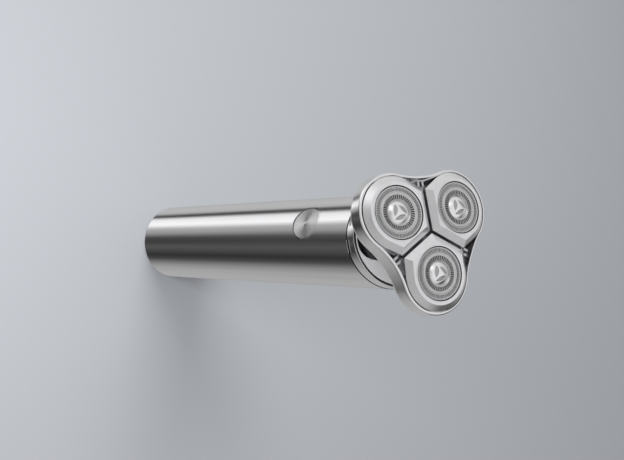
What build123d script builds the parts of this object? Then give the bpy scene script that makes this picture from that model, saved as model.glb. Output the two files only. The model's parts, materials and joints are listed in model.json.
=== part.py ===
"""Rotary shaver with a straight round handle and a slanted three-lobe floating head.

The handle stands on its tail along +Z, with the origin in the middle of the tail's flat face.
The power button faces -Y.  The head leans towards -Y, and its levels are counted along its own
axis from the point where that axis meets the slanted end of the handle.  Lobe 1 is the front one,
lobe 2 the left rear one (-X) and lobe 3 the right rear one (+X).
"""
from build123d import *
from math import acos, atan2, cos, degrees, hypot, radians, sin, sqrt
import os

# ---- handle -----------------------------------------------------------------------------------
BODY_R = 17.5
BODY_WALL = 1.2
BODY_INNER_R = BODY_R - BODY_WALL
BODY_LENGTH = 140.6  # tail face to the centre of the slanted end
HEAD_TILT = 18.0
SLIDE_GAP = 0.02  # pieces that are glued or pressed together

TAIL_CAP_THICK = 3.2
PORT_WIDTH = 8.9
PORT_HEIGHT = 3.2
PORT_DEPTH = 7.0
PORT_Y = -6.0

CHASSIS_R = 15.9
CHASSIS_FRONT = -6.4
CHASSIS_BOTTOM = 8.0
CHASSIS_SHELF = 80.0
CHASSIS_TOP = 111.0
CELL_R = 9.15
CELL_LENGTH = 65.0
CELL_Y = 4.6
CELL_BOTTOM = 11.0
BOARD_WIDTH = 20.0
BOARD_THICK = 1.0
BOARD_FRONT = -9.2
BOARD_BOTTOM = 14.0
BOARD_TOP = 122.0

# ---- power button -----------------------------------------------------------------------------
BUTTON_Z = 112.4
BUTTON_R = 6.4
BUTTON_CROWN_R = 30.0  # flatter than the handle, so the disc sits a little below it at its ends
BUTTON_FACE = 17.0  # from the handle's axis to the middle of the button's face
BUTTON_RING_R = 1.75
BUTTON_RING_WIDTH = 0.3
BUTTON_RING_DEPTH = 0.15
BEZEL_INNER_R = 6.7
BEZEL_R = 7.1
BEZEL_PROUD = 0.1
BUTTON_TRAVEL = 0.6

# ---- motor and neck, levels along the head axis ---------------------------------------------------
MOTOR_R = 7.75
MOTOR_BOTTOM = -24.0
MOTOR_TOP = -3.0
BRACKET_TOP = -1.6
SHAFT_R = 1.0
PIVOT = 0.8
COUPLER_FLAT = 1.5  # centre to flat
COUPLER_HALF = 0.9
SOCKET_FLAT = 1.8
COLLAR_BOTTOM = 0.6
COLLAR_TOP = 4.9
COLLAR_INSET = 0.12
COLLAR_WALL = 1.0
PLATE_BOTTOM = 3.4
PLATE_TOP = 4.8
SCOOP_CORNER_R = 6.6  # the opening's two round front corners
SCOOP_CORNER_X = 4.3
SCOOP_CORNER_Y = -8.6
SCOOP_NECK_R = 8.8
RING_SOCKET_R = 12.2
RING_SOCKET_INNER = 10.9
RING_R = 10.4
RING_INNER = 8.0
RING_HALF = 1.3
RING_PIN_R = 1.0
NECK_R = 7.3
NECK_PIN_R = 0.8
NECK_MOUTH_R = 5.0
NECK_MOUTH_DEPTH = 4.5
NECK_BELOW_PIVOT = 1.0
NECK_CONE = 7.8
NECK_CONE_R = 12.5
DRIVE_SHAFT_R = 2.6
RUNNING = 0.06  # radial play of a shaft in its bore

# ---- gears and head base --------------------------------------------------------------------------
LOBE_OFFSET = 14.5
GEAR_MODULE = 0.5
DRIVE_TEETH = 24
SPINDLE_TEETH = 34
HOUSING_BOTTOM = 14.6
HOUSING_FLOOR = 15.6
GEAR_BOTTOM = 15.9
GEAR_TOP = 17.9
COVER_BOTTOM = 18.2
COVER_TOP = 19.0
HOUSING_LOBE_R = 10.4
HOUSING_WAIST_R = 13.6
HOUSING_WALL = 1.0
SPINDLE_R = 1.4
SPINDLE_TIP_FLAT = 1.6
SPINDLE_TOP = 22.7
MAGNET_R = 1.3
MAGNET_OFFSET = 10.0

# ---- shaving unit -----------------------------------------------------------------------------------
FRAME_BOTTOM = 17.5
FRAME_FLOOR = 19.3
FRAME_LOBE_R = 13.9
FRAME_WAIST_R = 19.4
FRAME_WALL = 0.9
FRAME_LIP = 3.0
FRAME_RIM_DEPTH = 1.8  # below the guard plane, so that the rim follows the leaning lobes
FRAME_RIM_ROUND = 0.6
ARM_WIDTH = 3.0
ARM_TOP = 20.9
EAR_INNER = 15.65
EAR_OUTER = 17.7
EAR_OFFSET = 0.9  # either side of the waist's middle
EAR_WIDTH = 1.0
EAR_TOP = 24.2
HINGE_OFFSET = 16.6
HINGE_LEVEL = 23.2
HINGE_PIN_R = 0.4
HINGE_PIN_START = 0.95  # inside the ear
HINGE_PIN_REACH = 3.6

# ---- lobes, levels below the guard plane --------------------------------------------------------------
GUARD_LEVEL = 26.8
LOBE_LEAN = 3.6
POD_R = 12.7
POD_GAP_HALF = 0.65
POD_CORNER = 14.8  # from the head axis, along the gap
POD_BEVEL_INSET = 2.1
POD_BEVEL_DEPTH = 1.7
POD_DEPTH = 5.2
POD_BORE_R = 9.85
RIM_INNER_R = 9.3
RIM_R = 9.65
RIM_DEPTH = 1.3
GUARD_R = 9.0
GUARD_FLANGE_R = 9.75
GUARD_DEPTH = 2.2
GUARD_SKIN = 0.3
TRACK_OUTER = 8.75
TRACK_INNER = 7.3
SLOT_OUTER = 6.0
SLOT_INNER = 4.4
SLOT_WIDTH = 0.34
SLOT_COUNT = 45
HUB_R = 4.25
HUB_WALL = 0.2
HUB_RECESS = 0.55
CAP_R = 4.0
CAP_HEIGHT = 1.3
DIMPLE_OFFSET = 1.8
DIMPLE_TWIST = 16.0  # away from square to the radius
DIMPLE_R = 1.05
DIMPLE_DEPTH = 0.58  # below the dome's top
CUTTER_R = 8.55
CUTTER_TOP = 0.42
CUTTER_DISC_TOP = 2.5
CUTTER_DISC_BOTTOM = 3.3
CUTTER_BLADES = 15
BLADE_THICK = 0.35
CARRIER_R = 4.6
CARRIER_BOTTOM = 4.9
CARRIER_SOCKET_FLAT = 1.95

HEAD = Plane(
    origin=(0, 0, BODY_LENGTH),
    x_dir=(1, 0, 0),
    z_dir=(0, -sin(radians(HEAD_TILT)), cos(radians(HEAD_TILT))),
)
HEAD_AXIS = Axis(HEAD.origin, HEAD.z_dir)
LOBES = {1: -90.0, 2: 150.0, 3: 30.0}
WAISTS = (-30.0, 90.0, 210.0)
TALL = 400.0


def save(builder, name):
    """Label a finished piece and write its file."""
    builder.part.label = name
    export_step(builder.part, f"parts/{name}.step")


def level(height):
    """The head's cross plane at a height along its axis."""
    return HEAD.offset(height)


def head_point(x, y, height):
    """A point given across and along the head axis."""
    return HEAD.from_local_coords(Vector(x, y, height))


def spindle_plane(number, height):
    """The cross plane of a spindle, with +x pointing out of the head."""
    turn = radians(LOBES[number])
    outward = HEAD.x_dir * cos(turn) + HEAD.y_dir * sin(turn)
    centre = head_point(LOBE_OFFSET * cos(turn), LOBE_OFFSET * sin(turn), height)
    return Plane(origin=centre, x_dir=outward, z_dir=HEAD.z_dir)


def lobe_plane(number, depth=0.0):
    """A lobe's own cross plane, leaning outwards, at a depth below the guard plane."""
    flat = spindle_plane(number, GUARD_LEVEL)
    lean = radians(LOBE_LEAN)
    outward = flat.x_dir * cos(lean) - flat.z_dir * sin(lean)
    normal = flat.z_dir * cos(lean) + flat.x_dir * sin(lean)
    return Plane(origin=flat.origin, x_dir=outward, z_dir=normal).offset(-depth)


def oval(inset):
    """The slanted end's outline, moved inwards."""
    with BuildSketch() as sketch:
        Ellipse(BODY_R - inset, BODY_R / cos(radians(HEAD_TILT)) - inset)
    return sketch.sketch


def scoop():
    """The opening under the front lobe that the neck stands in."""
    with BuildSketch() as sketch:
        Circle(SCOOP_NECK_R)
        with Locations((-SCOOP_CORNER_X, SCOOP_CORNER_Y), (SCOOP_CORNER_X, SCOOP_CORNER_Y)):
            Circle(SCOOP_CORNER_R)
        make_hull()
    return sketch.sketch


def trefoil(lobe_r, waist_r):
    """Three round lobes joined by hollow waists, each arc tangent to the next."""
    spread = waist_r**2 - LOBE_OFFSET * waist_r + LOBE_OFFSET**2 - lobe_r**2
    blend_r = spread / (2 * lobe_r + LOBE_OFFSET - 2 * waist_r)
    blend_offset = waist_r + blend_r
    ratio = lobe_r / (lobe_r + blend_r)
    with BuildSketch() as sketch:
        with BuildLine():
            for turn in LOBES.values():
                centre = Vector(LOBE_OFFSET, 0).rotate(Axis.Z, turn)
                before = Vector(blend_offset, 0).rotate(Axis.Z, turn - 60)
                after = Vector(blend_offset, 0).rotate(Axis.Z, turn + 60)
                start = centre + (before - centre) * ratio
                end = centre + (after - centre) * ratio
                tip = Vector(LOBE_OFFSET + lobe_r, 0).rotate(Axis.Z, turn)
                ThreePointArc(start, tip, end)
                middle = Vector(waist_r, 0).rotate(Axis.Z, turn + 60)
                ThreePointArc(end, middle, end.rotate(Axis.Z, 2 * waist_turn(end, turn)))
        make_face()
    return sketch.sketch


def waist_turn(point, lobe_turn):
    """The angle from an arc's end to the middle of the waist after that lobe."""
    here = degrees(atan2(point.Y, point.X))
    return (lobe_turn + 60 - here + 180) % 360 - 180


def shield(inset):
    """A pod's outline: two straight sides along the gaps, two tangents and a round outer end."""
    radius = POD_R - inset
    gap = POD_GAP_HALF + inset
    mitre = inset * 0.55
    along = POD_CORNER - mitre
    apex = (-LOBE_OFFSET + gap / sin(radians(60)), 0)
    corner_x = -LOBE_OFFSET + along * cos(radians(60)) + gap * sin(radians(60))
    corner_y = along * sin(radians(60)) - gap * cos(radians(60))
    reach = hypot(corner_x, corner_y)
    turn = atan2(corner_y, corner_x) - acos(radius / reach)
    tangent = (radius * cos(turn), radius * sin(turn))
    with BuildSketch() as sketch:
        with BuildLine():
            Polyline(apex, (corner_x, corner_y), tangent)
            ThreePointArc(tangent, (radius, 0), (tangent[0], -tangent[1]))
            Polyline((tangent[0], -tangent[1]), (corner_x, -corner_y), apex)
        make_face()
    return sketch.sketch


def gear(teeth, first_turn):
    """A spur gear's outline with straight-sided teeth and a little backlash."""
    pitch_r = GEAR_MODULE * teeth / 2
    tip_r = pitch_r + 0.42
    root_r = pitch_r - 0.56
    step = 360 / teeth
    profile = ((root_r, 0.42), (pitch_r, 0.29), (tip_r, 0.13))
    points = []
    for index in range(teeth):
        turn = first_turn + index * step
        for radius, half in profile:
            points.append(Vector(radius, -half).rotate(Axis.Z, turn))
        for radius, half in reversed(profile):
            points.append(Vector(radius, half).rotate(Axis.Z, turn))
    with BuildSketch() as sketch:
        with BuildLine():
            Polyline(*points, close=True)
        make_face()
    return sketch.sketch


os.makedirs("parts", exist_ok=True)

# ==== handle ===========================================================================================
front_bore = Plane(origin=(0, 0, BUTTON_Z), x_dir=(1, 0, 0), z_dir=(0, -1, 0))

with BuildPart() as body_tube:
    Cylinder(BODY_R, BODY_LENGTH + BODY_R, align=(Align.CENTER, Align.CENTER, Align.MIN))
    Cylinder(
        BODY_INNER_R,
        BODY_LENGTH + BODY_R,
        align=(Align.CENTER, Align.CENTER, Align.MIN),
        mode=Mode.SUBTRACT,
    )
    split(bisect_by=HEAD, keep=Keep.BOTTOM)
    with BuildSketch(front_bore):
        Circle(BEZEL_R + SLIDE_GAP)
    extrude(amount=BODY_R + 1, mode=Mode.SUBTRACT)
    tail_edge = body_tube.edges().filter_by(GeomType.CIRCLE).sort_by(Axis.Z)[:2].sort_by(SortBy.RADIUS)[-1]
    fillet(tail_edge, 0.35)
save(body_tube, "body_tube")

with BuildPart() as tail_cap:
    with BuildSketch():
        Circle(BODY_INNER_R - SLIDE_GAP)
    extrude(amount=TAIL_CAP_THICK)
    with BuildSketch(Plane.XY.offset(1.1)):
        Circle(BODY_INNER_R)
        Circle(BODY_INNER_R - 1.0, mode=Mode.SUBTRACT)
    extrude(amount=1.2, mode=Mode.SUBTRACT)
    with BuildSketch():
        with Locations((0, PORT_Y)):
            SlotOverall(PORT_WIDTH + 0.6, PORT_HEIGHT + 0.6)
    extrude(amount=TAIL_CAP_THICK, mode=Mode.SUBTRACT)
save(tail_cap, "tail_cap")

with BuildPart() as tail_seal:
    with BuildSketch(Plane.XY.offset(1.2)):
        Circle(BODY_INNER_R - SLIDE_GAP)
        Circle(BODY_INNER_R - 1.0 + SLIDE_GAP, mode=Mode.SUBTRACT)
    extrude(amount=1.0)
save(tail_seal, "tail_seal")

with BuildPart() as charging_port:
    with BuildSketch(Plane.XY.offset(0.3)):
        with Locations((0, PORT_Y)):
            SlotOverall(PORT_WIDTH + 0.5, PORT_HEIGHT + 0.5)
            SlotOverall(PORT_WIDTH - 0.3, PORT_HEIGHT - 0.3, mode=Mode.SUBTRACT)
    extrude(amount=PORT_DEPTH)
    with BuildSketch(Plane.XY.offset(0.3 + PORT_DEPTH - 0.8)):
        with Locations((0, PORT_Y)):
            SlotOverall(PORT_WIDTH, PORT_HEIGHT)
    extrude(amount=0.8)
    with BuildSketch(Plane.XY.offset(1.0)):
        with Locations((0, PORT_Y)):
            Rectangle(PORT_WIDTH - 3.0, 0.7)
    extrude(amount=PORT_DEPTH - 1.2)
save(charging_port, "charging_port")

with BuildPart() as chassis:
    with BuildSketch(Plane.XY.offset(CHASSIS_BOTTOM)):
        Circle(CHASSIS_R)
        with Locations((0, CHASSIS_FRONT - CHASSIS_R)):
            Rectangle(2 * CHASSIS_R, 2 * CHASSIS_R, mode=Mode.SUBTRACT)
    extrude(amount=CHASSIS_TOP - CHASSIS_BOTTOM)
    with BuildSketch(Plane.XY.offset(CELL_BOTTOM - 0.5)):
        with Locations((0, CELL_Y)):
            Circle(CELL_R + 0.1)
        with Locations((0, -CHASSIS_R / 2)):
            Rectangle(2 * CELL_R - 4, CHASSIS_R)
    extrude(amount=CELL_LENGTH + 1.0, mode=Mode.SUBTRACT)
    with BuildSketch(Plane.XY.offset(CHASSIS_SHELF)):
        Circle(CHASSIS_R - 2.0)
    extrude(amount=CHASSIS_TOP - CHASSIS_SHELF, mode=Mode.SUBTRACT)
    with BuildSketch(Plane.XY.offset(TAIL_CAP_THICK)):
        with GridLocations(22.0, 0, 2, 1):
            Rectangle(4.0, 8.0)
    extrude(amount=CHASSIS_BOTTOM - TAIL_CAP_THICK)
    with BuildSketch(Plane.XZ.offset(-CHASSIS_FRONT)):
        with Locations((-8.5, 18), (8.5, 18), (-8.5, 77), (8.5, 77)):
            Circle(1.2)
    extrude(amount=CHASSIS_FRONT - BOARD_FRONT - BOARD_THICK)
save(chassis, "chassis")

with BuildPart() as battery_cell:
    with BuildSketch(Plane.XY.offset(CELL_BOTTOM)):
        with Locations((0, CELL_Y)):
            Circle(CELL_R)
    extrude(amount=CELL_LENGTH)
save(battery_cell, "battery_cell")

with BuildPart() as battery_tabs:
    for tab_z in (CELL_BOTTOM - 0.4, CELL_BOTTOM + CELL_LENGTH + SLIDE_GAP):
        with BuildSketch(Plane.XY.offset(tab_z)):
            with Locations((0, CELL_Y - 5.0)):
                Rectangle(5.0, 12.0)
        extrude(amount=0.35)
save(battery_tabs, "battery_tabs")

with BuildPart() as circuit_board:
    with BuildSketch(Plane.XZ.offset(-BOARD_FRONT)):
        with Locations((0, (BOARD_BOTTOM + BOARD_TOP) / 2)):
            Rectangle(BOARD_WIDTH, BOARD_TOP - BOARD_BOTTOM)
    extrude(amount=-BOARD_THICK)
save(circuit_board, "circuit_board")

board_face = Plane(origin=(0, BOARD_FRONT, BUTTON_Z), x_dir=(1, 0, 0), z_dir=(0, -1, 0))

with BuildPart() as tact_switch:
    with BuildSketch(board_face):
        Rectangle(6.0, 6.0)
    extrude(amount=2.2)
    with BuildSketch(board_face.offset(2.2)):
        Circle(1.7)
    extrude(amount=0.5)
save(tact_switch, "tact_switch")

button_base = front_bore.offset(BODY_R - 3.6)

with BuildPart() as button_bezel:
    with BuildSketch(button_base):
        Circle(BEZEL_R)
        Circle(BEZEL_INNER_R, mode=Mode.SUBTRACT)
    extrude(amount=6)
    Cylinder(BODY_R + BEZEL_PROUD, TALL, mode=Mode.INTERSECT)
save(button_bezel, "button_bezel")

with BuildPart() as button_gasket:
    with BuildSketch(button_base.offset(-0.8)):
        Circle(BEZEL_R)
        Circle(BUTTON_R - 2.2, mode=Mode.SUBTRACT)
    extrude(amount=0.75)
save(button_gasket, "button_gasket")

with BuildPart() as button_cap:
    with BuildSketch(button_base.offset(BUTTON_TRAVEL + 0.2)):
        Circle(BUTTON_R)
    extrude(amount=6)
    with Locations((0, BUTTON_CROWN_R - BUTTON_FACE, 0)):
        Cylinder(BUTTON_CROWN_R, TALL, mode=Mode.INTERSECT)
    with BuildSketch(front_bore.offset(BUTTON_FACE - BUTTON_RING_DEPTH)):
        Circle(BUTTON_RING_R)
        Circle(BUTTON_RING_R - BUTTON_RING_WIDTH, mode=Mode.SUBTRACT)
    extrude(amount=1.0, mode=Mode.SUBTRACT)
save(button_cap, "button_cap")

stem_start = -BOARD_FRONT + 2.2 + 0.5 + BUTTON_TRAVEL + 0.05

with BuildPart() as button_stem:
    with BuildSketch(front_bore.offset(stem_start)):
        Circle(1.6)
    extrude(until=Until.NEXT, target=button_cap.part)
save(button_stem, "button_stem")

# ==== motor and neck ===================================================================================
with BuildPart() as motor_can:
    with BuildSketch(level(MOTOR_BOTTOM)):
        Circle(MOTOR_R)
        Circle(SHAFT_R + RUNNING, mode=Mode.SUBTRACT)
    extrude(amount=MOTOR_TOP - MOTOR_BOTTOM)
    fillet(motor_can.edges().filter_by(GeomType.CIRCLE).sort_by(SortBy.RADIUS)[-2:], 0.8)
    with BuildSketch(level(MOTOR_TOP)):
        Circle(2.4)
        Circle(SHAFT_R + RUNNING, mode=Mode.SUBTRACT)
    extrude(amount=0.9)
save(motor_can, "motor_can")

with BuildPart() as motor_bracket:
    with BuildSketch(level(MOTOR_TOP)):
        Circle(1.3 * BODY_R)
        Circle(2.6, mode=Mode.SUBTRACT)
        with PolarLocations(5.0, 2):
            Circle(0.8, mode=Mode.SUBTRACT)
    extrude(amount=BRACKET_TOP - MOTOR_TOP)
    Cylinder(BODY_INNER_R - SLIDE_GAP, TALL, mode=Mode.INTERSECT)
save(motor_bracket, "motor_bracket")

with BuildPart() as motor_screws:
    with BuildSketch(level(MOTOR_TOP)):
        with PolarLocations(5.0, 2):
            Circle(0.78)
    extrude(amount=BRACKET_TOP - MOTOR_TOP)
    with BuildSketch(level(BRACKET_TOP)):
        with PolarLocations(5.0, 2):
            Circle(1.5)
    extrude(amount=0.4)
save(motor_screws, "motor_screws")

with BuildPart() as motor_shaft:
    with BuildSketch(level(MOTOR_BOTTOM + 1.0)):
        Circle(SHAFT_R)
    extrude(amount=PIVOT + COUPLER_HALF - 0.3 - MOTOR_BOTTOM - 1.0)
save(motor_shaft, "motor_shaft")

with BuildPart() as drive_coupler:
    with BuildSketch(level(PIVOT - COUPLER_HALF)):
        RegularPolygon(COUPLER_FLAT, 6, major_radius=False)
    extrude(amount=2 * COUPLER_HALF)
    with BuildSketch(level(PIVOT - COUPLER_HALF)):
        Circle(SHAFT_R + 0.01)
    extrude(amount=2 * COUPLER_HALF - 0.3 + 0.01, mode=Mode.SUBTRACT)
save(drive_coupler, "drive_coupler")

with BuildPart() as neck_seal:
    with BuildSketch(level(0)):
        add(oval(0.75))
        add(oval(3.0), mode=Mode.SUBTRACT)
    extrude(amount=COLLAR_BOTTOM)
save(neck_seal, "neck_seal")


def side_plane(turn, height):
    """A plane through the head axis that faces outwards at an angle."""
    outward = HEAD.x_dir * cos(radians(turn)) + HEAD.y_dir * sin(radians(turn))
    return Plane(origin=head_point(0, 0, height), x_dir=HEAD.z_dir, z_dir=outward)


LATCH_TURN = -60.0
LATCH_WIDTH = 5.0
LATCH_HEIGHT = 2.9
LATCH_LEVEL = COLLAR_BOTTOM + LATCH_HEIGHT / 2
PINHOLE_TURN = -84.0

with BuildPart() as collar:
    with BuildSketch(level(COLLAR_BOTTOM)):
        add(oval(COLLAR_INSET))
    extrude(amount=COLLAR_TOP - COLLAR_BOTTOM)
    fillet(collar.faces().sort_by(HEAD_AXIS)[-1].edges(), 0.35)
    with BuildSketch(level(COLLAR_BOTTOM)):
        add(oval(COLLAR_INSET + COLLAR_WALL))
    extrude(amount=COLLAR_TOP - COLLAR_BOTTOM, mode=Mode.SUBTRACT)
    with BuildSketch(side_plane(LATCH_TURN, LATCH_LEVEL)):
        Rectangle(LATCH_HEIGHT, LATCH_WIDTH)
    extrude(amount=BODY_R + 3, mode=Mode.SUBTRACT)
    with BuildSketch(side_plane(PINHOLE_TURN, COLLAR_BOTTOM + 1.4)):
        Circle(0.45)
    extrude(amount=BODY_R + 3, mode=Mode.SUBTRACT)
save(collar, "collar")

with BuildPart() as latch_tab:
    with BuildSketch(level(COLLAR_BOTTOM + 0.05)):
        add(oval(COLLAR_INSET + 0.45))
        add(oval(COLLAR_INSET + COLLAR_WALL), mode=Mode.SUBTRACT)
    extrude(amount=LATCH_HEIGHT - 0.1)
    with BuildSketch(side_plane(LATCH_TURN, LATCH_LEVEL)):
        Rectangle(LATCH_HEIGHT, LATCH_WIDTH - 0.3)
    extrude(amount=BODY_R + 3, mode=Mode.INTERSECT)
    with BuildSketch(side_plane(LATCH_TURN, LATCH_LEVEL + 0.5)):
        with Locations((0, 1.3)):
            Circle(0.55)
    extrude(amount=BODY_R + 3, mode=Mode.SUBTRACT)
save(latch_tab, "latch_tab")

with BuildPart() as neck_plate:
    with BuildSketch(level(PLATE_BOTTOM)):
        add(oval(COLLAR_INSET + COLLAR_WALL + 0.12))
        add(scoop(), mode=Mode.SUBTRACT)
    extrude(amount=PLATE_TOP - PLATE_BOTTOM)
    top_wires = neck_plate.faces().sort_by(HEAD_AXIS)[-1].inner_wires()
    fillet(top_wires[0].edges(), 0.5)
save(neck_plate, "neck_plate")

pin_x = Plane(origin=head_point(0, 0, PIVOT), x_dir=HEAD.y_dir, z_dir=HEAD.x_dir)
pin_y = Plane(origin=head_point(0, 0, PIVOT), x_dir=HEAD.x_dir, z_dir=HEAD.y_dir)

with BuildPart() as ring_socket:
    with BuildSketch(level(BRACKET_TOP)):
        Circle(RING_SOCKET_R)
        Circle(RING_SOCKET_INNER, mode=Mode.SUBTRACT)
    extrude(amount=PLATE_BOTTOM - BRACKET_TOP)
    with BuildSketch(pin_x):
        Circle(RING_PIN_R + RUNNING)
    extrude(amount=RING_SOCKET_R + 1, both=True, mode=Mode.SUBTRACT)
save(ring_socket, "ring_socket")

with BuildPart() as swivel_ring:
    with BuildSketch(level(PIVOT - RING_HALF)):
        Circle(RING_R)
        Circle(RING_INNER, mode=Mode.SUBTRACT)
    extrude(amount=2 * RING_HALF)
    with BuildSketch(pin_x):
        Circle(RING_PIN_R)
    extrude(amount=RING_SOCKET_R - 0.2, both=True)
    with BuildSketch(pin_y):
        Circle(NECK_PIN_R + RUNNING)
    extrude(amount=RING_R + 1, both=True, mode=Mode.SUBTRACT)
    with BuildSketch(level(PIVOT - RING_HALF)):
        Circle(RING_INNER)
    extrude(amount=2 * RING_HALF, mode=Mode.SUBTRACT)
save(swivel_ring, "swivel_ring")

# ==== head base and gears ================================================================================
with BuildPart() as head_base:
    with BuildSketch(level(HOUSING_BOTTOM)):
        add(trefoil(HOUSING_LOBE_R, HOUSING_WAIST_R))
    extrude(amount=COVER_BOTTOM - HOUSING_BOTTOM)
    with BuildSketch(level(HOUSING_FLOOR)):
        with Locations(*[Vector(LOBE_OFFSET, 0).rotate(Axis.Z, turn) for turn in LOBES.values()]):
            Circle(HOUSING_LOBE_R - HOUSING_WALL)
        Circle(8.0)
    extrude(amount=COVER_BOTTOM - HOUSING_FLOOR, mode=Mode.SUBTRACT)
    with BuildSketch(level(HOUSING_BOTTOM)):
        Circle(NECK_CONE_R)
    with BuildSketch(level(NECK_CONE)):
        Circle(NECK_R)
    loft()
    with BuildSketch(level(PIVOT - NECK_BELOW_PIVOT)):
        Circle(NECK_R)
    extrude(amount=NECK_CONE - PIVOT + NECK_BELOW_PIVOT)
    with BuildSketch(pin_y):
        Circle(NECK_PIN_R)
    extrude(amount=RING_R - 0.4, both=True)
    with BuildSketch(level(PIVOT - NECK_BELOW_PIVOT)):
        Circle(NECK_MOUTH_R)
    extrude(amount=NECK_MOUTH_DEPTH, mode=Mode.SUBTRACT)
    with BuildSketch(level(PIVOT)):
        Circle(DRIVE_SHAFT_R + RUNNING)
    extrude(amount=HOUSING_FLOOR - PIVOT, mode=Mode.SUBTRACT)
    for lobe in LOBES:
        with BuildSketch(spindle_plane(lobe, HOUSING_BOTTOM + 0.3)):
            Circle(SPINDLE_R + RUNNING)
        extrude(amount=HOUSING_FLOOR - HOUSING_BOTTOM, mode=Mode.SUBTRACT)
save(head_base, "head_base")

with BuildPart() as gear_cover:
    with BuildSketch(level(COVER_BOTTOM)):
        add(trefoil(HOUSING_LOBE_R, HOUSING_WAIST_R))
        with Locations(*[Vector(LOBE_OFFSET, 0).rotate(Axis.Z, turn) for turn in LOBES.values()]):
            Circle(SPINDLE_TIP_FLAT / cos(radians(30)) + RUNNING, mode=Mode.SUBTRACT)
        with Locations(*[Vector(MAGNET_OFFSET, 0).rotate(Axis.Z, turn) for turn in WAISTS]):
            Circle(MAGNET_R + SLIDE_GAP, mode=Mode.SUBTRACT)
    extrude(amount=COVER_TOP - COVER_BOTTOM)
save(gear_cover, "gear_cover")

with BuildPart() as base_magnets:
    with BuildSketch(level(COVER_BOTTOM)):
        with Locations(*[Vector(MAGNET_OFFSET, 0).rotate(Axis.Z, turn) for turn in WAISTS]):
            Circle(MAGNET_R)
    extrude(amount=COVER_TOP + 0.2 - COVER_BOTTOM)
save(base_magnets, "base_magnets")

with BuildPart() as drive_gear:
    with BuildSketch(level(GEAR_BOTTOM)):
        add(gear(DRIVE_TEETH, LOBES[1]))
    extrude(amount=GEAR_TOP - GEAR_BOTTOM)
    with BuildSketch(level(PIVOT - 1.0)):
        Circle(DRIVE_SHAFT_R)
    extrude(amount=GEAR_BOTTOM - PIVOT + 1.0)
    with BuildSketch(level(PIVOT - 1.0)):
        RegularPolygon(SOCKET_FLAT, 6, major_radius=False)
    extrude(amount=3.6, mode=Mode.SUBTRACT)
save(drive_gear, "drive_gear")

for lobe in LOBES:
    with BuildPart() as spindle_gear:
        with BuildSketch(spindle_plane(lobe, GEAR_BOTTOM)):
            add(gear(SPINDLE_TEETH, 180 / SPINDLE_TEETH))
            Circle(SPINDLE_R + 0.01, mode=Mode.SUBTRACT)
        extrude(amount=GEAR_TOP - GEAR_BOTTOM)
    save(spindle_gear, f"spindle_gear_{lobe}")

    with BuildPart() as spindle:
        with BuildSketch(spindle_plane(lobe, HOUSING_BOTTOM + 0.4)):
            Circle(SPINDLE_R)
        extrude(amount=GEAR_TOP - HOUSING_BOTTOM - 0.4)
        with BuildSketch(spindle_plane(lobe, GEAR_TOP)):
            RegularPolygon(SPINDLE_TIP_FLAT, 6, major_radius=False)
        extrude(amount=SPINDLE_TOP - GEAR_TOP)
    save(spindle, f"spindle_{lobe}")

# ==== shaving unit =========================================================================================
with BuildPart() as head_frame:
    with BuildSketch(level(FRAME_BOTTOM)):
        add(trefoil(FRAME_LOBE_R, FRAME_WAIST_R))
    extrude(amount=GUARD_LEVEL - FRAME_BOTTOM)
    fillet(head_frame.faces().sort_by(HEAD_AXIS)[0].edges(), 1.7)
    for lobe in LOBES:
        split(bisect_by=lobe_plane(lobe, FRAME_RIM_DEPTH), keep=Keep.BOTTOM)
    rim_faces = head_frame.faces().filter_by(GeomType.PLANE).sort_by(HEAD_AXIS)[-3:]
    rim_edges = ShapeList(edge for face in rim_faces for edge in face.edges())
    fillet(rim_edges.filter_by(GeomType.LINE, reverse=True), FRAME_RIM_ROUND)
    with BuildSketch(level(FRAME_FLOOR)):
        add(trefoil(FRAME_LOBE_R - FRAME_WALL, FRAME_WAIST_R - FRAME_WALL))
    extrude(amount=GUARD_LEVEL - FRAME_FLOOR, mode=Mode.SUBTRACT)
    with BuildSketch(level(FRAME_BOTTOM)):
        add(trefoil(FRAME_LOBE_R - FRAME_LIP, FRAME_WAIST_R - FRAME_LIP))
    extrude(amount=FRAME_FLOOR - FRAME_BOTTOM, mode=Mode.SUBTRACT)
save(head_frame, "head_frame")

with BuildPart() as frame_bridge:
    with BuildSketch(level(FRAME_FLOOR)):
        for turn in WAISTS:
            with Locations(Location((0, 0, 0), (0, 0, turn))):
                Rectangle(FRAME_WAIST_R - FRAME_WALL - 0.1, ARM_WIDTH, align=(Align.MIN, Align.CENTER))
        Circle(3.0)
    extrude(amount=ARM_TOP - FRAME_FLOOR)
    with BuildSketch(level(ARM_TOP)):
        for turn in WAISTS:
            with Locations(Location((0, 0, 0), (0, 0, turn))):
                with Locations(((EAR_INNER + EAR_OUTER) / 2, 0)):
                    with GridLocations(0, 2 * EAR_OFFSET, 1, 2):
                        Rectangle(EAR_OUTER - EAR_INNER, EAR_WIDTH)
    extrude(amount=EAR_TOP - ARM_TOP)
    fillet(frame_bridge.faces().sort_by(HEAD_AXIS)[-6:].edges(), 0.2)
save(frame_bridge, "frame_bridge")


def hinge_plane(lobe, side):
    """The middle of a waist, facing along the hinge line into the pod's corner."""
    turn = radians(LOBES[lobe] + 60 * side)
    middle = head_point(HINGE_OFFSET * cos(turn), HINGE_OFFSET * sin(turn), HINGE_LEVEL)
    tangent = spindle_plane(lobe, 0).y_dir
    return Plane(origin=middle, x_dir=HEAD.z_dir, z_dir=tangent * -side)


with BuildPart() as hinge_pins:
    for lobe in LOBES:
        for side in (-1, 1):
            with BuildSketch(hinge_plane(lobe, side).offset(HINGE_PIN_START)):
                Circle(HINGE_PIN_R)
            extrude(amount=HINGE_PIN_REACH - HINGE_PIN_START)
    add(frame_bridge.part, mode=Mode.SUBTRACT)
save(hinge_pins, "hinge_pins")

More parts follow.
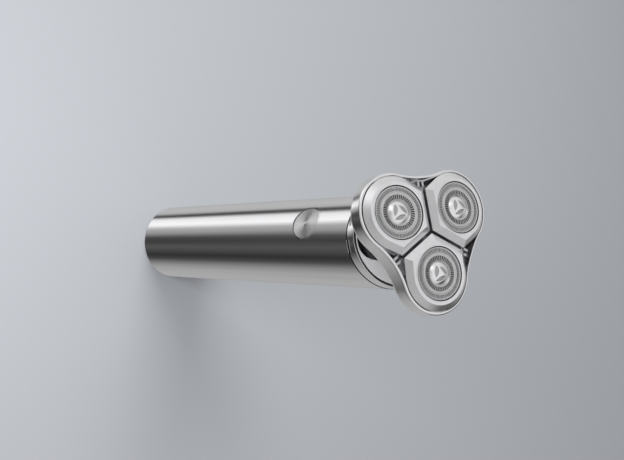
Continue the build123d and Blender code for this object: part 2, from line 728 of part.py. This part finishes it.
for lobe in LOBES:
    with BuildPart() as pod:
        with BuildSketch(lobe_plane(lobe, POD_DEPTH)):
            add(shield(0))
        extrude(amount=POD_DEPTH - POD_BEVEL_DEPTH)
        with BuildSketch(lobe_plane(lobe, POD_BEVEL_DEPTH)):
            add(shield(0))
        with BuildSketch(lobe_plane(lobe)):
            add(shield(POD_BEVEL_INSET))
        loft()
        with BuildSketch(lobe_plane(lobe, POD_DEPTH)):
            Circle(POD_BORE_R)
        extrude(amount=POD_DEPTH - RIM_DEPTH, mode=Mode.SUBTRACT)
        with BuildSketch(lobe_plane(lobe, RIM_DEPTH)):
            Circle(RIM_R + SLIDE_GAP)
        extrude(amount=RIM_DEPTH + 1, mode=Mode.SUBTRACT)
        for side in (-1, 1):
            with BuildSketch(hinge_plane(lobe, side)):
                Circle(HINGE_PIN_R + RUNNING)
            extrude(amount=HINGE_PIN_REACH + 0.3, mode=Mode.SUBTRACT)
    save(pod, f"pod_{lobe}")

    with BuildPart() as guard_rim:
        with BuildSketch(lobe_plane(lobe, RIM_DEPTH)):
            Circle(RIM_R)
            Circle(RIM_INNER_R, mode=Mode.SUBTRACT)
        extrude(amount=RIM_DEPTH + 0.08)
    save(guard_rim, f"guard_rim_{lobe}")

    with BuildPart() as guard:
        with BuildSketch(lobe_plane(lobe, GUARD_DEPTH)):
            Circle(GUARD_R)
        extrude(amount=GUARD_DEPTH)
        with BuildSketch(lobe_plane(lobe, GUARD_DEPTH)):
            Circle(GUARD_FLANGE_R)
        extrude(amount=GUARD_DEPTH - RIM_DEPTH - 0.1)
        with BuildSketch(lobe_plane(lobe, GUARD_DEPTH)):
            Circle(GUARD_R - GUARD_SKIN)
        extrude(amount=GUARD_DEPTH - GUARD_SKIN, mode=Mode.SUBTRACT)
        with BuildSketch(lobe_plane(lobe, GUARD_DEPTH - 0.4)):
            Circle(HUB_R)
        extrude(amount=GUARD_DEPTH - 0.4)
        with BuildSketch(lobe_plane(lobe)):
            Circle(HUB_R - HUB_WALL)
        extrude(amount=-HUB_RECESS, mode=Mode.SUBTRACT)
        with BuildSketch(lobe_plane(lobe)):
            Circle(TRACK_OUTER)
            Circle(TRACK_INNER, mode=Mode.SUBTRACT)
        extrude(amount=-0.12, mode=Mode.SUBTRACT)
        with BuildSketch(lobe_plane(lobe)):
            with PolarLocations((SLOT_OUTER + SLOT_INNER) / 2, SLOT_COUNT):
                Rectangle(SLOT_OUTER - SLOT_INNER, SLOT_WIDTH)
        extrude(amount=-GUARD_SKIN, mode=Mode.SUBTRACT)
    save(guard, f"guard_{lobe}")

    with BuildPart() as guard_cap:
        cap_sphere_r = (CAP_R**2 + CAP_HEIGHT**2) / (2 * CAP_HEIGHT)
        with BuildSketch(lobe_plane(lobe, HUB_RECESS)):
            Circle(CAP_R)
        extrude(amount=CAP_HEIGHT)
        with Locations(lobe_plane(lobe, HUB_RECESS + cap_sphere_r - CAP_HEIGHT).location):
            Sphere(cap_sphere_r, mode=Mode.INTERSECT)
        for turn in (0, 120, 240):
            top = lobe_plane(lobe, HUB_RECESS - CAP_HEIGHT + DIMPLE_DEPTH - DIMPLE_R)
            dimple = Location((0, 0, 0), (0, 0, turn)) * Location((DIMPLE_OFFSET, 0, 0), (0, 0, DIMPLE_TWIST))
            with Locations(top.location * dimple):
                Cylinder(DIMPLE_R, 2 * CAP_R, rotation=(90, 0, 0), mode=Mode.SUBTRACT)
    save(guard_cap, f"guard_cap_{lobe}")

    with BuildPart() as cutter:
        with BuildSketch(lobe_plane(lobe, CUTTER_DISC_BOTTOM)):
            Circle(CUTTER_R)
            Circle(CARRIER_R - 1.6, mode=Mode.SUBTRACT)
        extrude(amount=CUTTER_DISC_BOTTOM - CUTTER_DISC_TOP)
        with BuildSketch(lobe_plane(lobe, CUTTER_DISC_TOP)):
            with PolarLocations((SLOT_INNER + 0.2 + CUTTER_R) / 2, CUTTER_BLADES):
                Rectangle(CUTTER_R - SLOT_INNER - 0.2, BLADE_THICK)
        extrude(amount=CUTTER_DISC_TOP - CUTTER_TOP)
    save(cutter, f"cutter_{lobe}")

    with BuildPart() as cutter_carrier:
        with BuildSketch(lobe_plane(lobe, CARRIER_BOTTOM)):
            Circle(CARRIER_R)
        extrude(amount=CARRIER_BOTTOM - CUTTER_DISC_BOTTOM - SLIDE_GAP)
        with BuildSketch(lobe_plane(lobe, CUTTER_DISC_BOTTOM + 0.1)):
            Circle(CARRIER_R - 1.65)
        extrude(amount=0.9)
        with BuildSketch(lobe_plane(lobe, CARRIER_BOTTOM)):
            RegularPolygon(CARRIER_SOCKET_FLAT, 6, major_radius=False)
        extrude(amount=CARRIER_BOTTOM - CUTTER_DISC_BOTTOM + 0.3, mode=Mode.SUBTRACT)
    save(cutter_carrier, f"cutter_carrier_{lobe}")
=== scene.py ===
import json
import math
import bpy
import bmesh
from mathutils import Matrix, Vector


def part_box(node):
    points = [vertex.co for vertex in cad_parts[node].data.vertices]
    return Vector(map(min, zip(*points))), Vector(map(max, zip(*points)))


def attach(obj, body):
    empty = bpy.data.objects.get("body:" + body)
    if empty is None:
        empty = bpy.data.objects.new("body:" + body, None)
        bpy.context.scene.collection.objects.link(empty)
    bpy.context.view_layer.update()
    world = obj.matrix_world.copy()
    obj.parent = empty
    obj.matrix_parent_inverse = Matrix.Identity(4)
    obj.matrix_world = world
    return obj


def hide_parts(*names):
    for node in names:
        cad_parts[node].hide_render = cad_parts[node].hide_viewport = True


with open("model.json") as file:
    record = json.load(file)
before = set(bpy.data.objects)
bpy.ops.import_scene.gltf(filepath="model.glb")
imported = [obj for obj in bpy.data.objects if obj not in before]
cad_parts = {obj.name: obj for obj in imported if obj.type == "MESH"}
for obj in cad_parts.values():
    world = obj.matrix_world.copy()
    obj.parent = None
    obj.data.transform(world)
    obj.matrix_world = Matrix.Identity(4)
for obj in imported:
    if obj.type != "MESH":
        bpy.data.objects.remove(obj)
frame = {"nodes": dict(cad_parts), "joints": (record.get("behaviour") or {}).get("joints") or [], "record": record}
nodes = frame["nodes"]
joints = {j["name"]: j for j in frame["joints"]}
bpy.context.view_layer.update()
LOBES = (1, 2, 3)


# ---- small node helpers ------------------------------------------------------------------------
class Graph:
    """A material or world tree with short calls for adding and joining nodes."""

    def __init__(self, tree):
        self.tree = tree

    def add(self, kind, **settings):
        node = self.tree.nodes.new(kind)
        for key, value in settings.items():
            setattr(node, key, value)
        return node

    def link(self, out, into):
        self.tree.links.new(out, into)

    def math(self, operation, first, second=None):
        node = self.add("ShaderNodeMath", operation=operation)
        for socket, value in zip(node.inputs, (first, second)):
            if isinstance(value, (int, float)):
                socket.default_value = value
            elif value is not None:
                self.link(value, socket)
        return node.outputs[0]

    def mix(self, factor, first, second):
        node = self.add("ShaderNodeMix", data_type="RGBA")
        for name, value in (("Factor", factor), ("A", first), ("B", second)):
            if isinstance(value, tuple):
                node.inputs[name].default_value = value
            else:
                self.link(value, node.inputs[name])
        return node.outputs["Result"]

    def ramp(self, factor, stops):
        node = self.add("ShaderNodeValToRGB")
        elements = node.color_ramp.elements
        while len(elements) < len(stops):
            elements.new(0.5)
        for element, (place, shade) in zip(elements, stops):
            element.position = place
            element.color = (*shade, 1.0) if isinstance(shade, tuple) else (shade, shade, shade, 1.0)
        self.link(factor, node.inputs[0])
        return node.outputs[0]


# ---- materials -----------------------------------------------------------------------------------
PLASTIC_GRAIN, PLASTIC_GRAIN_DEPTH = 900.0, 0.00003
SPUN_RING_SCALE, SPUN_GROOVE_DEPTH = 28.0, 0.000017  # grooves 0.15 mm apart on the button
PAINT_FLAKE_SCALE = 9000.0
POLISHED_ROUGHNESS, ETCHED_ROUGHNESS = 0.10, 0.38
DIMPLE_EDGE = 0.05  # in mm, as dimple_reach is


def new_material(name):
    """A fresh material, its graph and its shader."""
    material = bpy.data.materials.new(name)
    material.use_nodes = True
    graph = Graph(material.node_tree)
    shader = material.node_tree.nodes["Principled BSDF"]
    return material, graph, shader


def metal(name, colour, roughness, variation=0.02, grain=400.0, stretch=(1, 1, 1)):
    """A metal whose roughness and colour vary a little with a stretched noise."""
    material, g, shader = new_material(name)
    shader.inputs["Metallic"].default_value = 1.0
    coords = g.add("ShaderNodeTexCoord").outputs["Object"]
    mapping = g.add("ShaderNodeMapping")
    mapping.inputs["Scale"].default_value = stretch
    g.link(coords, mapping.inputs[0])
    noise = g.add("ShaderNodeTexNoise")
    noise.inputs["Scale"].default_value = grain
    noise.inputs["Detail"].default_value = 3.0
    g.link(mapping.outputs[0], noise.inputs["Vector"])
    rough = g.add("ShaderNodeMapRange")
    rough.inputs["To Min"].default_value = roughness - variation
    rough.inputs["To Max"].default_value = roughness + variation
    g.link(noise.outputs["Fac"], rough.inputs["Value"])
    g.link(rough.outputs[0], shader.inputs["Roughness"])
    dark = tuple(c * 0.94 for c in colour)
    g.link(g.ramp(noise.outputs["Fac"], [(0.3, dark), (0.7, colour)]), shader.inputs["Base Color"])
    return material


def dimpled_metal(name, polished, etched):
    """Polished metal, darker and duller where the mesh's dimple_reach is above 0."""
    material, g, shader = new_material(name)
    shader.inputs["Metallic"].default_value = 1.0
    reach = g.add("ShaderNodeAttribute")
    reach.attribute_name = "dimple_reach"
    inside = g.add("ShaderNodeMapRange", interpolation_type="SMOOTHSTEP")
    inside.inputs["From Max"].default_value = DIMPLE_EDGE
    g.link(reach.outputs["Fac"], inside.inputs["Value"])
    g.link(g.mix(inside.outputs[0], polished, etched), shader.inputs["Base Color"])
    rough = g.add("ShaderNodeMapRange")
    rough.inputs["To Min"].default_value = POLISHED_ROUGHNESS
    rough.inputs["To Max"].default_value = ETCHED_ROUGHNESS
    g.link(inside.outputs[0], rough.inputs["Value"])
    g.link(rough.outputs[0], shader.inputs["Roughness"])
    return material


def plastic(name, colour, roughness):
    """Moulded plastic or rubber with a fine texture."""
    material, g, shader = new_material(name)
    coords = g.add("ShaderNodeTexCoord").outputs["Object"]
    noise = g.add("ShaderNodeTexNoise")
    noise.inputs["Scale"].default_value = PLASTIC_GRAIN
    g.link(coords, noise.inputs["Vector"])
    light = tuple(min(1.0, c * 1.25 + 0.004) for c in colour)
    g.link(g.ramp(noise.outputs["Fac"], [(0.35, colour), (0.7, light)]), shader.inputs["Base Color"])
    shader.inputs["Roughness"].default_value = roughness
    node = g.add("ShaderNodeBump")
    node.inputs["Strength"].default_value = 0.15
    node.inputs["Distance"].default_value = PLASTIC_GRAIN_DEPTH
    g.link(noise.outputs["Fac"], node.inputs["Height"])
    g.link(node.outputs[0], shader.inputs["Normal"])
    return material


def spun_metal(name, colour, roughness):
    """A turned face: fine rings that pull the highlights out into cones."""
    material, g, shader = new_material(name)
    shader.inputs["Metallic"].default_value = 1.0
    shader.inputs["Roughness"].default_value = roughness
    shader.inputs["Anisotropic"].default_value = 1.0
    shader.inputs["Anisotropic Rotation"].default_value = 0.25
    tangent = g.add("ShaderNodeTangent", direction_type="RADIAL", axis="Y")
    g.link(tangent.outputs[0], shader.inputs["Tangent"])
    coords = g.add("ShaderNodeTexCoord").outputs["Generated"]
    rings = g.add("ShaderNodeTexWave", wave_type="RINGS", rings_direction="Y")
    rings.inputs["Scale"].default_value = SPUN_RING_SCALE
    centre = g.add("ShaderNodeMapping")
    centre.inputs["Location"].default_value = (-0.5, 0.0, -0.5)
    g.link(coords, centre.inputs[0])
    g.link(centre.outputs[0], rings.inputs["Vector"])
    dark = tuple(c * 0.9 for c in colour)
    g.link(g.ramp(rings.outputs["Fac"], [(0.2, dark), (0.8, colour)]), shader.inputs["Base Color"])
    grooves = g.add("ShaderNodeBump")
    grooves.inputs["Strength"].default_value = 1.0
    grooves.inputs["Distance"].default_value = SPUN_GROOVE_DEPTH
    g.link(rings.outputs["Fac"], grooves.inputs["Height"])
    g.link(grooves.outputs[0], shader.inputs["Normal"])
    return material


def paint(name, colour, roughness):
    """Silver lacquer on plastic: part metallic flake, part plain colour."""
    material, g, shader = new_material(name)
    shader.inputs["Metallic"].default_value = 0.15
    shader.inputs["Roughness"].default_value = roughness
    shader.inputs["Coat Weight"].default_value = 0.3
    shader.inputs["Coat Roughness"].default_value = 0.2
    coords = g.add("ShaderNodeTexCoord").outputs["Object"]
    flake = g.add("ShaderNodeTexNoise")
    flake.inputs["Scale"].default_value = PAINT_FLAKE_SCALE
    g.link(coords, flake.inputs["Vector"])
    dark = tuple(c * 0.93 for c in colour)
    g.link(g.ramp(flake.outputs["Fac"], [(0.3, dark), (0.7, colour)]), shader.inputs["Base Color"])
    return material


MATERIALS = {
    "brushed_handle_metal": metal(
        "brushed_handle_metal", (0.86, 0.86, 0.87), 0.15, 0.03, grain=600, stretch=(1, 1, 0.02)
    ),
    "dark_plastic": plastic("dark_plastic", (0.05, 0.05, 0.055), 0.34),
    "black_rubber": plastic("black_rubber", (0.006, 0.006, 0.006), 0.7),
    "port_steel": metal("port_steel", (0.6, 0.6, 0.62), 0.3),
    "cell_wrap": plastic("cell_wrap", (0.03, 0.09, 0.22), 0.3),
    "nickel": metal("nickel", (0.75, 0.74, 0.7), 0.3),
    "board_green": plastic("board_green", (0.01, 0.08, 0.03), 0.35),
    "switch_plastic": plastic("switch_plastic", (0.02, 0.02, 0.02), 0.5),
    "polished_chrome": metal("polished_chrome", (0.87, 0.87, 0.88), 0.16, 0.015),
    "spun_button_metal": spun_metal("spun_button_metal", (0.95, 0.95, 0.96), 0.60),
    "motor_steel": metal("motor_steel", (0.55, 0.55, 0.57), 0.3),
    "satin_metal": metal("satin_metal", (0.86, 0.86, 0.87), 0.30, 0.02),
    "guard_steel": metal("guard_steel", (0.60, 0.60, 0.60), 0.24, 0.03),
    "cutter_steel": metal("cutter_steel", (0.10, 0.10, 0.10), 0.45),
    "polished_dome": dimpled_metal("polished_dome", (0.90, 0.90, 0.90, 1.0), (0.45, 0.45, 0.46, 1.0)),
    "silver_paint": paint("silver_paint", (0.92, 0.92, 0.93), 0.42),
}

slot_of = {s["node"]: s["material_slot"] for s in frame["record"]["subparts"]}
for name, node in nodes.items():
    node.data.materials.clear()
    node.data.materials.append(MATERIALS[slot_of[name]])
nodes["neck_plate"].data.materials[0] = MATERIALS["silver_paint"]


# ---- head frame of reference -------------------------------------------------------------------------
MM = 0.001
POD_EDGE = 0.12 * MM
LOBE_NORMALS = {i: Vector(joints[f"cutter_spin_{i}"]["axis"]).normalized() for i in LOBES}
LOBE_CENTRES = {i: Vector(joints[f"cutter_spin_{i}"]["pos_m"]) for i in LOBES}


def lobe_matrix(lobe):
    """A lobe's own frame: its axis up, +x pointing out of the head."""
    up = LOBE_NORMALS[lobe]
    outward = (LOBE_CENTRES[lobe] - Vector(joints["drive_spin"]["pos_m"])).normalized()
    across = up.cross(outward).normalized()
    outward = across.cross(up)
    matrix = Matrix((outward, across, up)).transposed().to_4x4()
    matrix.translation = LOBE_CENTRES[lobe]
    return matrix


def soften(node_name, width):
    """Break the sharp edges of a node, so that they catch the light."""
    bevel = nodes[node_name].modifiers.new("broken_edges", "BEVEL")
    bevel.width = width
    bevel.segments = 2
    bevel.limit_method = "ANGLE"
    bevel.angle_limit = math.radians(30)
    bevel.harden_normals = True


def place_on_lobe(shape, name, lobe):
    """Turn a shape drawn in mm in a lobe's own frame into an object in its place."""
    shape.transform(Matrix.Scale(MM, 4))
    shape.transform(lobe_matrix(lobe))
    mesh = bpy.data.meshes.new(f"{name}_{lobe}")
    shape.to_mesh(mesh)
    shape.free()
    piece = bpy.data.objects.new(f"{name}_{lobe}", mesh)
    bpy.context.scene.collection.objects.link(piece)
    return piece


# ---- slotted guards ------------------------------------------------------------------------------------
GUARD_PLATE = 0.25
OUTER_SLOTS, OUTER_SLOT_WIDTH = 90, 0.3
INNER_SLOTS, INNER_SLOT_WIDTH = 45, 0.50
SPOKES = 180
TRACK_BORDER = 7.0  # slots further out are the outer ones
# (radius, height, slots that cut the strip up to the next radius)
GUARD_PROFILE = [
    (8.98, -0.95, None), (8.98, -0.16, None), (8.92, -0.05, None), (8.84, 0.0, None),
    (8.72, 0.0, None), (8.62, -0.06, None), (8.5, -0.06, "outer"), (7.25, -0.06, None),
    (7.12, -0.06, None), (7.02, -0.14, None), (6.92, -0.14, None), (6.82, -0.01, None),
    (6.72, 0.02, None), (6.15, 0.02, None), (6.03, -0.03, "inner"), (4.55, -0.03, None),
    (4.38, -0.08, None), (4.2, -0.34, None), (4.05, -0.52, None), (3.9, -0.56, None),
]


def slot_angle(spoke, radius, kind):
    """A spoke's angle, moved so that a slot keeps the same width along its length."""
    count, width = (OUTER_SLOTS, OUTER_SLOT_WIDTH) if kind == "outer" else (INNER_SLOTS, INNER_SLOT_WIDTH)
    per_slot = SPOKES // count
    slot, place = divmod(spoke, per_slot)
    middle = 2 * math.pi * slot / count
    half = math.asin(width / 2 / radius)
    if place == 0:
        return middle - half
    if place == 1:
        return middle + half
    land = 2 * math.pi / count - 2 * half
    return middle + half + land * (place - 1) / (per_slot - 1)


def guard_mesh(lobe):
    """A stamped guard: two rings of slots, a groove between them and a sunk centre."""
    shape = bmesh.new()
    rings = []
    for radius, height, _ in GUARD_PROFILE:
        nearest = "outer" if radius > TRACK_BORDER else "inner"
        ring = []
        for spoke in range(SPOKES):
            angle = slot_angle(spoke, radius, nearest)
            ring.append(shape.verts.new((radius * math.cos(angle), radius * math.sin(angle), height)))
        rings.append(ring)
    for (_, _, kind), outer, inner in zip(GUARD_PROFILE, rings, rings[1:]):
        per_slot = SPOKES // (OUTER_SLOTS if kind == "outer" else INNER_SLOTS)
        for spoke in range(SPOKES):
            if kind and spoke % per_slot == 0:
                continue
            after = (spoke + 1) % SPOKES
            shape.faces.new((outer[spoke], outer[after], inner[after], inner[spoke]))
    for face in shape.faces:
        face.smooth = True
    piece = place_on_lobe(shape, "guard_foil", lobe)
    piece.data.set_sharp_from_angle(angle=math.radians(40))
    piece.data.materials.append(MATERIALS["guard_steel"])
    thick = piece.modifiers.new("plate", "SOLIDIFY")
    thick.thickness = GUARD_PLATE * MM
    thick.offset = -1.0
    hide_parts(f"guard_{lobe}")
    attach(piece, f"pod_{lobe}")


# ---- domed caps with three dimples -----------------------------------------------------------------------
CAP_R, CAP_HEIGHT, CAP_BASE, CAP_SKIRT = 4.0, 1.3, -0.55, 0.3
DIMPLE_OFFSET, DIMPLE_TWIST = 1.75, math.radians(16)
DIMPLE_LENGTH, DIMPLE_WIDTH, DIMPLE_DEPTH, DIMPLE_SLOPE = 4.3, 1.5, 0.2, 0.15
CAP_RINGS, CAP_SPOKES = 44, 144


def dimple_reach(x, y):
    """How many mm a point is inside a lens-shaped dimple, or less than 0 outside."""
    best = -DIMPLE_WIDTH
    for turn in (0, 1, 2):
        angle = turn * 2 * math.pi / 3
        across = x * math.cos(angle) + y * math.sin(angle) - DIMPLE_OFFSET
        along = -x * math.sin(angle) + y * math.cos(angle)
        across, along = (
            across * math.cos(DIMPLE_TWIST) + along * math.sin(DIMPLE_TWIST),
            along * math.cos(DIMPLE_TWIST) - across * math.sin(DIMPLE_TWIST),
        )
        half_width = DIMPLE_WIDTH / 2 * (1 - (2 * along / DIMPLE_LENGTH) ** 2)
        best = max(best, half_width - abs(across))
    return best


def cap_mesh(lobe):
    """The polished dome in the middle of a guard."""
    sphere_r = (CAP_R**2 + CAP_HEIGHT**2) / (2 * CAP_HEIGHT)
    shape = bmesh.new()
    reach_layer = shape.verts.layers.float.new("dimple_reach")
    rings = []
    for ring in range(1, CAP_RINGS + 1):
        radius = CAP_R * ring / CAP_RINGS
        points = []
        for spoke in range(CAP_SPOKES):
            angle = 2 * math.pi * spoke / CAP_SPOKES
            x, y = radius * math.cos(angle), radius * math.sin(angle)
            height = CAP_BASE + CAP_HEIGHT - sphere_r + math.sqrt(sphere_r**2 - radius**2)
            reach = dimple_reach(x, y)
            sunk = min(1.0, max(0.0, reach) / DIMPLE_SLOPE) * DIMPLE_DEPTH
            points.append(shape.verts.new((x, y, height - sunk)))
            points[-1][reach_layer] = reach
        rings.append(points)
    rings.append([shape.verts.new((v.co.x, v.co.y, CAP_BASE - CAP_SKIRT)) for v in rings[-1]])
    top = shape.verts.new((0, 0, CAP_BASE + CAP_HEIGHT))
    for vert in [top, *rings[-1]]:
        vert[reach_layer] = -DIMPLE_WIDTH
    for spoke in range(CAP_SPOKES):
        after = (spoke + 1) % CAP_SPOKES
        shape.faces.new((top, rings[0][spoke], rings[0][after]))
        for inner, outer in zip(rings, rings[1:]):
            shape.faces.new((inner[spoke], outer[spoke], outer[after], inner[after]))
    for face in shape.faces:
        face.smooth = True
    piece = place_on_lobe(shape, "guard_dome", lobe)
    piece.data.materials.append(MATERIALS["polished_dome"])
    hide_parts(f"guard_cap_{lobe}")
    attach(piece, f"pod_{lobe}")


for lobe in LOBES:
    guard_mesh(lobe)
    cap_mesh(lobe)
    soften(f"pod_{lobe}", POD_EDGE)

# ---- studio ----------------------------------------------------------------------------------------
FLOOR_HALF = 3.0
FLOOR_DROP = 0.0002  # just under the handle's tail


def studio_floor():
    """A plain pale floor that isn't seen in reflections."""
    mesh = bpy.data.meshes.new("floor")
    corners = [(x * FLOOR_HALF, y * FLOOR_HALF, 0) for x, y in ((-1, -1), (1, -1), (1, 1), (-1, 1))]
    mesh.from_pydata(corners, [], [(0, 1, 2, 3)])
    floor = bpy.data.objects.new("floor", mesh)
    bpy.context.scene.collection.objects.link(floor)
    floor.location.z = -FLOOR_DROP
    floor.visible_glossy = False
    material, g, shader = new_material("studio_floor")
    noise = g.add("ShaderNodeTexNoise")
    noise.inputs["Scale"].default_value = 3.0
    shades = [(0.3, (0.385, 0.40, 0.425)), (0.7, (0.405, 0.42, 0.445))]
    g.link(g.ramp(noise.outputs["Fac"], shades), shader.inputs["Base Color"])
    shader.inputs["Roughness"].default_value = 0.8
    mesh.materials.append(material)


# Brightness all round the studio, as (compass degree, brightness). 0 degrees is +X, 90 is +Y, and
# the button faces -90. The light fades from one stop to the next. The values were condensed
# from brightness readings.
LOW_STOPS = [
    # low down, much like a strip light near -130, dark cloth from -80 to -8, flags at -158 and 116
    (-180, 0.56), (-169, 0.46), (-161, 0.035), (-154, 0.035), (-144, 0.95), (-122, 1.15),
    (-108, 0.46), (-96, 0.38), (-80, 0.08), (-66, 0.05), (-50, 0.1), (-38, 0.075),
    (-22, 0.03), (-8, 0.07), (10, 0.28), (30, 0.42), (70, 0.46), (107, 0.38),
    (112, 0.04), (121, 0.04), (126, 0.42), (150, 0.5), (180, 0.56),
]
HIGH_STOPS = [
    # higher up, much like the top of the strip light near -120 and a flag near 70
    (-180, 0.75), (-150, 0.72), (-135, 0.9), (-122, 1.15), (-106, 1.0), (-90, 0.5),
    (-75, 0.42), (-55, 0.42), (-30, 0.46), (20, 0.48), (42, 0.38), (56, 0.1),
    (84, 0.1), (98, 0.3), (120, 0.6), (150, 0.6), (180, 0.75),
]
CEILING = (0.78, 0.78, 0.79, 1.0)
BACKDROP = (0.42, 0.44, 0.47, 1.0)
# the height of a direction, from 0 straight down to 1 straight up, where one band fades into the next
LOW_TO_HIGH = (0.30, 0.46)
HIGH_TO_CEILING = (0.82, 0.93)


def light_all_round(g, direction, stops):
    """A brightness for each compass direction."""
    parts = g.add("ShaderNodeSeparateXYZ")
    g.link(direction, parts.inputs[0])
    turn = g.math("ARCTAN2", parts.outputs["Y"], parts.outputs["X"])
    place = g.math("ADD", g.math("DIVIDE", turn, 2 * math.pi), 0.5)
    return g.ramp(place, [((degree + 180) / 360, brightness) for degree, brightness in stops])


def studio_world():
    """A soft studio: light and dark walls low down, softer ones higher up, and an even ceiling."""
    world = bpy.data.worlds.new("studio")
    world.use_nodes = True
    g = Graph(world.node_tree)
    background = world.node_tree.nodes["Background"]
    direction = g.add("ShaderNodeTexCoord").outputs["Generated"]
    height = g.add("ShaderNodeSeparateXYZ")
    g.link(direction, height.inputs[0])
    place = g.math("ADD", g.math("MULTIPLY", height.outputs["Z"], 0.5), 0.5)
    is_high = g.ramp(place, [(LOW_TO_HIGH[0], 0.0), (LOW_TO_HIGH[1], 1.0)])
    is_ceiling = g.ramp(place, [(HIGH_TO_CEILING[0], 0.0), (HIGH_TO_CEILING[1], 1.0)])
    low = light_all_round(g, direction, LOW_STOPS)
    high = light_all_round(g, direction, HIGH_STOPS)
    studio = g.mix(is_ceiling, g.mix(is_high, low, high), CEILING)
    camera_ray = g.add("ShaderNodeLightPath").outputs["Is Camera Ray"]
    g.link(g.mix(camera_ray, studio, BACKDROP), background.inputs["Color"])
    bpy.context.scene.world = world


def softbox(name, place, target, size, power):
    """A soft light that falls on surfaces and isn't seen in reflections."""
    data = bpy.data.lights.new(name, "AREA")
    data.shape = "RECTANGLE"
    data.size, data.size_y = size
    data.energy = power
    lamp = bpy.data.objects.new(name, data)
    lamp.location = place
    lamp.rotation_mode = "QUATERNION"
    lamp.rotation_quaternion = (Vector(target) - Vector(place)).to_track_quat("-Z", "Y")
    lamp.visible_glossy = False
    bpy.context.scene.collection.objects.link(lamp)


studio_floor()
studio_world()
softbox("key", (-0.35, -0.25, 0.75), (0, 0, 0.14), (0.35, 0.35), 4.0)
plate_low, plate_high = (Vector(corner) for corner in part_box("neck_plate"))
softbox("neck_fill", (0.06, -0.24, 0.19), (plate_low + plate_high) / 2, (0.10, 0.10), 0.5)

# ---- camera ---------------------------------------------------------------------------------------------
CAMERA_PLACE = Vector((0.09037, -0.18553, 0.31179))
CAMERA_RIGHT = Vector((-0.312, 0.6447, 0.6979)).normalized()
CAMERA_FORWARD = Vector((-0.3203, 0.6201, -0.7161)).normalized()
CAMERA_LENS, CAMERA_SENSOR = 41.66, 36.0

camera_data = bpy.data.cameras.new("camera")
camera_data.sensor_width = CAMERA_SENSOR
camera_data.lens = CAMERA_LENS
camera_data.clip_start, camera_data.clip_end = 0.01, 20.0
camera = bpy.data.objects.new("camera", camera_data)
bpy.context.scene.collection.objects.link(camera)
camera_up = CAMERA_RIGHT.cross(CAMERA_FORWARD)
camera_matrix = Matrix((CAMERA_RIGHT, camera_up, -CAMERA_FORWARD)).transposed().to_4x4()
camera_matrix.translation = CAMERA_PLACE
camera.matrix_world = camera_matrix
bpy.context.scene.camera = camera
bpy.context.scene.view_settings.view_transform = "Standard"
